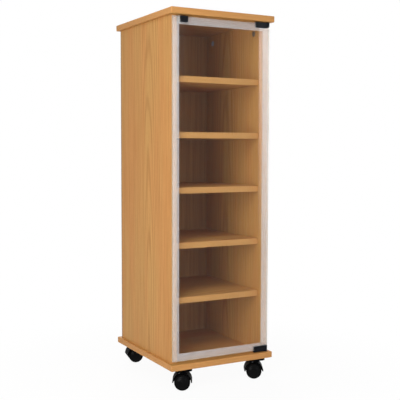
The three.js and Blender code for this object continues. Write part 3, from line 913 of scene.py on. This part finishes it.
@dataclass
class PivotHinge:
    """One clamped hinge shoe with its pin and bush.

    The pivot and the shoe's ends are read from the frame's solids. The jaws stand in from the barrel by their
    inset, and the neck is where the barrel's round starts.
    """

    end: str
    sides: int = 48
    shoe_round: float = 0.0007
    pin_round: float = 0.0004
    bush_round: float = 0.0002
    jaw_slot: float = 0.0025
    jaw_inset: float = 0.0013
    neck_back: float = 0.002
    web_gap: float = 0.0003
    pin_hole: float = 0.0028
    pin_hole_sink: float = 0.001
    clamp_hole: float = 0.0023
    clamp_offset: float = 0.016
    clamp_level: float = 0.006
    corner_length: float = 0.010
    corner_height: float = 0.005
    overrun: float = 0.02

    @property
    def up(self) -> int:
        """Is 1 for the upper hinge and -1 for the lower."""
        return 1 if self.end == "upper" else -1

    def build(self) -> None:
        """Builds the shoe and smooth round pieces in its board."""
        pin, bush = f"hinge_pin_{self.end}", f"hinge_bush_{self.end}"
        low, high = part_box(pin)
        middle, radius = (low + high) / 2, (high.x - low.x) / 2
        self.shoe((middle.x, middle.y))
        steel = PIN_STEEL.material()
        stand = Matrix.Translation((middle.x, middle.y, 0))
        pin_rod = rod(f"{pin}_dressed", radius, low.z, high.z, self.sides, stand)
        dress(softened(pin_rod, self.pin_round), steel, pin)
        ease(bush, self.bush_round, 2, BLACK_PLASTIC.material())

    def clamp_screw(self) -> Place:
        """Finds the clamp screw.

        Returns:
            Its place on the shoe's rear jaw.
        """
        low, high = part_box(f"hinge_shoe_{self.end}")
        level = (low.z if self.up > 0 else high.z) + self.up * self.clamp_level
        return low.x + self.clamp_offset, high.y - self.jaw_inset, level

    def shoe(self, pivot: Spot) -> None:
        """Builds the shoe: two jaws, a web and a barrel, cut for the glass, the pin and the clamp screw.

        Args:
            pivot: The pin's place.
        """
        node = f"hinge_shoe_{self.end}"
        low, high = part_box(node)
        barrel = high.x - pivot[0]
        jaw = barrel - self.jaw_inset
        front, back, neck = pivot[1] - jaw, pivot[1] + jaw, pivot[0] - self.neck_back
        round_end = arc(barrel, -math.pi / 2, math.pi / 2, self.sides // 2, pivot)
        outline = [(low.x, front), (neck, front), *round_end, (neck, back), (low.x, back)]
        shoe = prism(f"{node}_dressed", outline, Axis.Z, low.z, high.z)
        combine(shoe, CutMode.CUT, *self.cutters(low, high, pivot))
        dress(softened(shoe, self.shoe_round), BLACK_METAL.material(), node)

    def cutters(self, low: Vector, high: Vector, pivot: Spot) -> list[Piece]:
        """Makes what is cut out of the shoe.

        Args:
            low: Lowest corner of the shoe's solid.
            high: Highest corner of it.
            pivot: The pin's place.

        Returns:
            The glass's slot, the holes for the pin and the clamp screw, and the upper shoe's open corner.
        """
        glass_low, glass_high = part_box("door_glass")
        web = (glass_high.z if self.up > 0 else glass_low.z) + self.up * self.web_gap
        far = self.overrun
        slot_low, slot_high = sorted((web, web - self.up * far))
        slot = block(
            "slot",
            (low.x - far, pivot[1] - self.jaw_slot, slot_low),
            (high.x + far, pivot[1] + self.jaw_slot, slot_high),
        )
        hole_low, hole_high = sorted((web - self.up * self.pin_hole_sink, web + self.up * far))
        stand = Matrix.Translation((*pivot, 0))
        pin_hole = rod("pin_hole", self.pin_hole, hole_low, hole_high, self.sides, stand)
        clamp_x, _, clamp_z = self.clamp_screw()
        lie = Matrix.Translation((clamp_x, pivot[1], clamp_z)) @ ALONG_Y
        cutters = [slot, pin_hole, rod("clamp_hole", self.clamp_hole, 0, far, self.sides // 2, lie)]
        if self.up > 0:
            left, top = high.x - self.corner_length, low.z + self.corner_height
            right, under = high.x + far, low.z - far
            corner = [(left, low.z), (left, under), (right, under), (right, top), (high.x, top)]
            cutters.append(prism("corner", corner, Axis.Y, pivot[1] - far, pivot[1] + far))
        return cutters


@dataclass
class PushLatch:
    """Housing, plunger, magnet and spring behind the strike clip.

    The spring's first and last coils are closed for a share of a turn, and sit on that many wires.
    """

    sides: int = 40
    housing_round: float = 0.0005
    rod_round: float = 0.0004
    wire: float = 0.0005
    wire_sides: int = 10
    coils: int = 7
    closed: float = 0.8
    seat_wires: float = 2.2
    steps: int = 28

    def build(self) -> None:
        """Dresses the latch."""
        white = WHITE_PLASTIC.material()
        ease("latch_housing", self.housing_round, 3, white)
        self.round_piece("latch_plunger", white)
        self.round_piece("latch_magnet", ZINC.material())
        self.spring()

    def round_piece(self, node: str, finish: Material) -> None:
        """Puts a smooth rod along Y in the place of a solid of the frame.

        Args:
            node: The solid's name.
            finish: The rod's material.
        """
        low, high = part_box(node)
        stand = Matrix.Translation(((low.x + high.x) / 2, low.y, (low.z + high.z) / 2)) @ ALONG_Y
        form = rod(f"{node}_dressed", (high.x - low.x) / 2, 0, high.y - low.y, self.sides, stand)
        dress(softened(form, self.rod_round), finish, node)

    def spring(self) -> None:
        """Winds the spring and gives it a mesh of its own."""
        low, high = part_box("latch_spring")
        centre = Vector(((low.x + high.x) / 2, 0, (low.z + high.z) / 2))
        radius = (high.x - low.x) / 2 - self.wire
        start, end = low.y + self.wire, high.y - self.wire
        seat = self.seat_wires * self.wire
        route = []
        for i in range(self.coils * self.steps + 1):
            coil = i / self.steps
            rise = min(max((coil - self.closed) / (self.coils - 2 * self.closed), 0), 1)
            last = max(coil - self.coils + self.closed, 0)
            seated = min(coil / self.closed, 1) + min(last / self.closed, 1)
            y = start + seated * seat + rise * (end - start - 2 * seat)
            turn = 2 * math.pi * coil
            route.append(centre + Vector((radius * math.cos(turn), y, radius * math.sin(turn))))
        spring = tube("latch_spring_dressed", route, self.wire, self.wire_sides)
        dress(spring, ZINC.material(), "latch_spring")
        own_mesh(spring)


@dataclass
class Caster:
    """One hooded twin-wheel caster.

    Sizes are those of the solids; the swivel's place and turn come from the frame's joints. A lip or shoulder
    is given across the wheel first and along its axle second.
    """

    corner: str
    trail: float = 0.002
    axle_height: float = 0.021
    axle_bore: float = 0.0028
    plate_round: float = 0.0006
    wheel_radius: float = 0.021
    wheel_inner: float = 0.007
    wheel_outer: float = 0.020
    wheel_round: float = 0.0002
    wheel_sides: int = 72
    crease: float = 35
    rim_depth: float = 0.0032
    rim_wall: float = 0.0012
    rim_lip: float = 0.0006
    boss_radius: float = 0.006
    boss_depth: float = 0.003
    bore_end: float = 0.0168
    cap_rise: float = 0.0040
    cap_inset: float = 0.0008
    cap_gap: float = 0.0007
    cap_steps: int = 16
    groove_depth: float = 0.0003
    groove_shares: Spot = (0.70, 0.78)
    inner_lip: Spot = (0.0006, 0.0002)
    outer_lip: Spot = (0.0008, 0.0006)
    shoulder: Spot = (0.0016, 0.0015)
    shoulder_middle: Spot = (0.0006, 0.0004)
    tread_groove: float = 0.0004
    tread_crease: float = 40
    hood_inner: float = 0.023
    hood_outer: float = 0.026
    hood_round: float = 0.0005
    hood_steps: int = 48
    web_half: float = 0.0063
    web_open: float = math.radians(50)
    web_steps: int = 40
    hub_radius: float = 0.007
    neck_radius: float = 0.014
    neck_top: float = 0.0492
    neck_sides: int = 56
    kingpin_bore: float = 0.0043
    kingpin_depth: float = 0.0213
    room_sides: int = 96
    hole_sides: int = 32
    overrun: float = 0.002
    stand: Matrix = field(init=False)
    axle: Matrix = field(init=False)

    def __post_init__(self) -> None:
        """Finds where the caster stands and how it is turned, and where its axle lies before that turn."""
        joints = {joint["name"]: joint for joint in frame["joints"]}
        swivel = Vector(joints[f"caster_{self.corner}_turn"]["pos_m"])
        axle = Vector(joints[f"caster_{self.corner}_wheel_a_spin"]["pos_m"])
        turn = math.atan2(axle.y - swivel.y, axle.x - swivel.x)
        self.stand = Matrix.Translation((swivel.x, swivel.y, 0)) @ Matrix.Rotation(turn, 4, "Z")
        self.axle = Matrix.Translation((self.trail, 0, self.axle_height))

    def build(self) -> None:
        """Builds the plate, the hood and both wheels."""
        black = BLACK_PLASTIC.material()
        name = f"caster_{self.corner}"
        ease(f"{name}_plate", self.plate_round, 2, black)
        dress(self.hood(), black, f"{name}_hood")
        tread, cap = TREAD_PLASTIC.material(), CAP_PLASTIC.material()
        for letter, side in (("a", -1), ("b", 1)):
            wheel = f"{name}_wheel_{letter}"
            outward = self.stand @ self.axle @ Matrix.Rotation(side * -math.pi / 2, 4, "X")
            disc = turned(f"{wheel}_disc", self.disc_profile(), self.wheel_sides, outward)
            dress(softened(disc, self.wheel_round, 2, self.crease), cap, wheel)
            dress(self.tread_ring(f"{wheel}_tread", outward), tread, wheel)
        steel = PIN_STEEL.material()
        paint(f"{name}_axle", steel)
        paint(f"{name}_kingpin", steel)

    def disc_profile(self) -> list[Spot]:
        """Draws the wheel's hub, web and domed cap with its groove.

        Returns:
            Radius and height of each point, from the inside to the outside.
        """
        rim = self.wheel_radius - self.rim_depth
        inner = self.wheel_inner
        web, wall, lip = inner + self.boss_depth, rim - self.rim_wall, inner + self.rim_lip
        foot = self.wheel_outer - self.cap_inset
        boss, bore, end = self.boss_radius, self.axle_bore, self.bore_end
        profile = [(0, end), (bore, end), (bore, inner), (boss, inner), (boss, web)]
        profile += [(wall, web), (wall, lip), (rim, lip), (rim, foot)]
        for step in range(self.cap_steps):
            tilt = math.pi / 2 * step / self.cap_steps
            share = math.cos(tilt)
            groove = self.groove_depth if self.groove_shares[0] < share < self.groove_shares[1] else 0.0
            profile.append(((rim - self.cap_gap) * share, foot + self.cap_rise * math.sin(tilt) - groove))
        profile.append((0, foot + self.cap_rise))
        return profile

    def tread_ring(self, name: str, stand: Matrix) -> Piece:
        """Makes the ring that rolls on the floor, closed on itself.

        Args:
            name: The ring's name.
            stand: Carries +Z to the axle's way out.

        Returns:
            The ring.
        """
        rim, outer = self.wheel_radius - self.rim_depth, self.wheel_radius
        low, high = self.wheel_inner, self.wheel_outer
        middle, groove = (low + high) / 2, self.tread_groove
        near, near_up = outer - self.shoulder_middle[0], self.shoulder_middle[1]
        far, far_up = outer - self.shoulder[0], self.shoulder[1]
        section = [(rim, low + self.inner_lip[1]), (rim + self.inner_lip[0], low), (far, low)]
        section += [(near, low + near_up), (outer, low + far_up), (outer, middle - groove)]
        section += [(outer - groove, middle), (outer, middle + groove), (outer, high - far_up)]
        section += [(near, high - near_up), (far, high), (rim + self.outer_lip[0], high)]
        section += [(rim, high - self.outer_lip[1]), section[0]]
        return smoothed(turned(name, section, self.wheel_sides, stand), self.tread_crease)

    def hood(self) -> Piece:
        """Builds the fender, its web and hub, and the neck round the kingpin.

        Returns:
            The hood, in its place.
        """
        centre = (self.trail, self.axle_height)
        lie, upright = self.axle @ ALONG_Y, Matrix.Identity(4)
        far, half = self.wheel_outer + self.overrun, self.web_half
        outside = arc(self.hood_outer, 0, math.pi, self.hood_steps, centre)
        inside = arc(self.hood_inner, math.pi, 0, self.hood_steps, centre)
        name = f"caster_{self.corner}_hood_dressed"
        hood = prism(name, outside + inside, Axis.Y, -self.wheel_outer, self.wheel_outer)
        middle = (self.hood_outer + self.hood_inner) / 2
        web_outline = [centre, *arc(middle, self.web_open, math.pi, self.web_steps, centre)]
        web = prism("web", web_outline, Axis.Y, -half, half)
        hub = rod("hub", self.hub_radius, -half, half, self.web_steps, lie)
        neck = rod("neck", self.neck_radius, self.axle_height, self.neck_top, self.neck_sides, upright)
        combine(neck, CutMode.CUT, rod("room", middle, -far, far, self.room_sides, lie))
        combine(hood, CutMode.JOIN, web, hub, neck)
        bore_low, bore_high = self.neck_top - self.kingpin_depth, self.neck_top + self.overrun
        bore = rod("bore", self.kingpin_bore, bore_low, bore_high, self.neck_sides, upright)
        axle_hole = rod("axle_hole", self.axle_bore, -far, far, self.hole_sides, lie)
        combine(hood, CutMode.CUT, bore, axle_hole)
        softened(hood, self.hood_round, 2, self.crease)
        hood.data.transform(self.stand)
        return hood


@dataclass
class ScrewRow:
    """Pan-head screws with a cross recess, set by a node tree at a list of places.

    A head's sizes are shares of its radius, and its height is stretched by the tree.
    """

    name: str
    body: str
    places: list[Place]
    facing: Place
    radius: float
    height: float
    finish: Material
    seed: int = 7
    sides: int = 28
    recess: Spot = (0.52, 0.11)
    recess_span: Spot = (0.42, 1.2)
    crease: float = 40

    def head(self) -> Piece:
        """Makes one head of unit radius.

        Returns:
            The head, its top towards +Z and its seat at the origin.
        """
        profile = [(0, -0.4), (0.4, -0.4), (0.4, 0), (0.94, 0), (1.0, 0.08), (1.0, 0.28)]
        profile += [(0.88, 0.56), (0.62, 0.74), (0.30, 0.80), (0, 0.80)]
        head = turned("screw_head", profile, self.sides, Matrix.Identity(4))
        (wide, slim), (low, high) = self.recess, self.recess_span
        bar = block("recess_one", (-wide, -slim, low), (wide, slim, high))
        cross = block("recess_two", (-slim, -wide, low), (slim, wide, high))
        return smoothed(combine(head, CutMode.CUT, bar, cross), self.crease)

    def tree(self, kinds: dict[str, str]) -> bpy.types.NodeTree:
        """Builds the tree that puts a head at each point, each turned by chance about its axis.

        Args:
            kinds: The kind of each input by its name, the points aside.

        Returns:
            The tree.
        """
        tree = bpy.data.node_groups.new(f"{self.name}_tree", "GeometryNodeTree")
        face = tree.interface
        for label, kind in {"Geometry": "Geometry", **kinds}.items():
            face.new_socket(label, in_out="INPUT", socket_type=f"NodeSocket{kind}")
        face.new_socket("Geometry", in_out="OUTPUT", socket_type="NodeSocketGeometry")
        add = partial(add_node, tree)
        given = add("NodeGroupInput")
        head = add("GeometryNodeObjectInfo", {"Object": given["Head"]})
        align = add("FunctionNodeAlignRotationToVector", {"Vector": given["Facing"]}, axis="Z")
        half_turn = {2: 0.0, 3: math.pi, "Seed": given["Seed"]}
        chance = add("FunctionNodeRandomValue", half_turn, data_type="FLOAT")
        spin = add("FunctionNodeAxisAngleToRotation", {"Axis": (0, 0, 1), "Angle": chance[1]})
        turn = add("FunctionNodeRotateRotation", {0: align[0], 1: spin[0]}, rotation_space="LOCAL")
        points = add("GeometryNodeInstanceOnPoints", {
            "Points": given["Geometry"],
            "Instance": head["Geometry"],
            "Rotation": turn[0],
            "Scale": given["Size"],
        })
        real = add("GeometryNodeRealizeInstances", {0: points[0]})
        finish = add("GeometryNodeSetMaterial", {"Geometry": real[0], "Material": given["Finish"]})
        add("NodeGroupOutput", {0: finish[0]})
        return tree

    def build(self, slot: str) -> None:
        """Sets the screws as one piece and lets them ride on their body.

        Args:
            slot: A material slot's name; not used.
        """
        mesh = bpy.data.meshes.new(self.name)
        mesh.from_pydata(self.places, [], [])
        screws = new_object(self.name, mesh)
        head = self.head()
        modifier = screws.modifiers.new("screws", "NODES")
        given = {
            "Head": ("Object", head),
            "Size": ("Vector", (self.radius, self.radius, self.height)),
            "Facing": ("Vector", self.facing),
            "Seed": ("Int", self.seed),
            "Finish": ("Material", self.finish),
        }
        modifier.node_group = self.tree({label: kind for label, (kind, _) in given.items()})
        for item in modifier.node_group.interface.items_tree:
            if item.in_out == "INPUT" and item.name in given:
                modifier[item.identifier] = given[item.name][1]
        baked(screws)
        bpy.data.objects.remove(head)
        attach(screws, self.body)
        log.info("%s: %d screws", self.name, len(self.places))


@dataclass
class Screws:
    """Every small screw of the tower. A head is given as its radius and height."""

    plate_hole: float = 0.0155
    plate_head: Spot = (0.0036, 0.0026)
    latch_hole: float = 0.012
    latch_flange: float = 0.0025
    latch_head: Spot = (0.0030, 0.0022)
    clamp_head: Spot = (0.0034, 0.0020)
    down: Place = (0, 0, -1)
    backward: Place = (0, 1, 0)

    def build(self) -> None:
        """Sets the screws of the caster plates, the latch and the hinge shoes."""
        zinc = ZINC.material()
        plates = []
        for corner in corners():
            low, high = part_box(f"caster_{corner}_plate")
            middle = (low + high) / 2
            plates += [
                (middle.x + x * self.plate_hole, middle.y + y * self.plate_hole, low.z)
                for x in (-1, 1)
                for y in (-1, 1)
            ]
        ScrewRow("caster_plate_screws", "tower", plates, self.down, *self.plate_head, zinc).build("zinc")
        low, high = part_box("latch_housing")
        middle = (low + high) / 2
        latch = [(middle.x + x * self.latch_hole, middle.y, high.z - self.latch_flange) for x in (-1, 1)]
        ScrewRow("latch_screws", "tower", latch, self.down, *self.latch_head, zinc, seed=3).build("zinc")
        clamps = [PivotHinge(end).clamp_screw() for end in ("upper", "lower")]
        black = BLACK_METAL.material()
        row = ScrewRow("clamp_screws", "door", clamps, self.backward, *self.clamp_head, black, seed=5)
        row.build("black_metal")


# Studio


@dataclass(frozen=True)
class Lamp:
    """One soft lamp: its place and aim, its width and height, its watts and the angle of its light."""

    name: str
    place: Place
    aim: Place
    size: Spot
    watts: float
    colour: Rgb = (1.0, 1.0, 1.0)
    spread: float = math.pi

    def build(self) -> None:
        """Hangs the lamp."""
        data = bpy.data.lights.new(self.name, "AREA")
        data.shape, data.energy, data.color = "RECTANGLE", self.watts, self.colour
        data.size, data.size_y = self.size
        data.spread = self.spread
        lamp = new_object(self.name, data)
        lamp.location = self.place
        lamp.rotation_euler = (Vector(self.aim) - Vector(self.place)).to_track_quat("-Z", "Y").to_euler()


WARM, SOFT_WARM, COOL = (1.0, 0.985, 0.965), (1.0, 0.99, 0.98), (0.92, 0.96, 1.0)
LAMPS = (
    Lamp("key", (-0.99, -0.88, 0.78), (0, 0, 0.52), (0.5, 1.7), 14.5, WARM),
    Lamp("front", (1.635, -2.43, 0.86), (0.11, -0.16, 0.26), (0.10, 1.66), 0.55, COOL, math.radians(40)),
    Lamp("fill", (0.3, -2.9, 1.0), (0.0, -0.16, 0.6), (0.9, 1.6), 6.6),
    Lamp("top", (-0.9, -1.6, 2.5), (0, 0, 0.6), (1.4, 1.4), 10, SOFT_WARM),
    Lamp("back", (0.6, 2.6, 2.2), (0, 0, 0.5), (1.8, 1.8), 42),
)


@dataclass(frozen=True)
class Studio:
    """Camera at the photograph's place, pale floor, soft lamps and a plain world."""

    camera_place: Place = (-1.03540, -1.94705, 0.62793)
    yaw: float = math.radians(28.579)
    pitch: float = math.radians(-3.6957)
    roll: float = math.radians(0.1023)
    lens: float = 70.132
    sensor: float = 36.0
    sight: Spot = (0.05, 60.0)
    world_colour: Rgb = WARM
    world_light: float = 0.24
    white: Rgb = (1.0, 1.0, 1.0)
    floor_size: float = 12.0
    floor_depth: float = 0.02
    floor_pale: Rgb = (0.86, 0.86, 0.86)
    floor_dull: Rgb = (0.83, 0.83, 0.83)
    shadow_reach: Spot = (0.22, 0.8)

    def camera(self) -> None:
        """Makes the camera and chooses it."""
        data = bpy.data.cameras.new("camera")
        data.lens, data.sensor_width = self.lens, self.sensor
        data.clip_start, data.clip_end = self.sight
        camera = new_object("camera", data)
        turn = Matrix.Rotation(-self.yaw, 4, "Z") @ Matrix.Rotation(math.pi / 2 + self.pitch, 4, "X")
        turn = turn @ Matrix.Rotation(self.roll, 4, "Z")
        camera.matrix_world = Matrix.Translation(self.camera_place) @ turn
        bpy.context.scene.camera = camera

    def world(self) -> None:
        """Lights the scene from all round, and shows plain white to the camera and through the glass."""
        sheet = Sheet("studio", "worlds")
        bpy.context.scene.world = sheet.owner
        light = sheet.add("Background", {"Color": self.world_colour, "Strength": self.world_light})[0]
        plain = sheet.add("Background", {"Color": self.white, "Strength": 1.0})[0]
        sheet.add("OutputWorld", {"Surface": sheet.either(sheet.on_rays(*BACKGROUND_RAYS), light, plain)})

    def floor(self) -> None:
        """Lays a pale floor that keeps the tower's shadow."""
        half = self.floor_size / 2
        plane = block("floor", (-half, -half, -self.floor_depth), (half, half, 0))
        sheet = Sheet("pale_floor")
        soft = sheet.spread(sheet.noise(sheet.place(), 1.5, 2), 0.3, 0.7, (0, 0.5))
        colour = sheet.mix(soft, self.floor_pale, self.floor_dull)
        lit = sheet.surface({"Base Color": colour, "Roughness": 0.6, "Specular IOR Level": 0.2})
        glow = sheet.add("Emission", {"Color": self.white, "Strength": 1.0})[0]
        away = sheet.add("VectorMath", {0: sheet.place()}, operation="LENGTH")["Value"]
        share = sheet.spread(away, *self.shadow_reach, (0.95, 1.0))
        share = sheet.times(sheet.on_rays(*BACKGROUND_RAYS), share)
        coat(plane, sheet.done(sheet.either(share, lit, glow)))

    def build(self) -> None:
        """Sets up camera, lamps, world and floor."""
        self.camera()
        for lamp in LAMPS:
            lamp.build()
        self.world()
        self.floor()
        bpy.context.scene.view_settings.view_transform = "Standard"


def main() -> None:
    """Builds the studio and dresses each sub-assembly in turn."""
    logging.basicConfig(level=logging.INFO, format="%(name)s %(message)s")
    Studio().build()
    Carcass().build()
    JointFittings().build()
    Door().build()
    for end in ("upper", "lower"):
        PivotHinge(end).build()
    PushLatch().build()
    for corner in corners():
        Caster(corner).build()
    Screws().build()


if __name__ == "__main__":
    main()
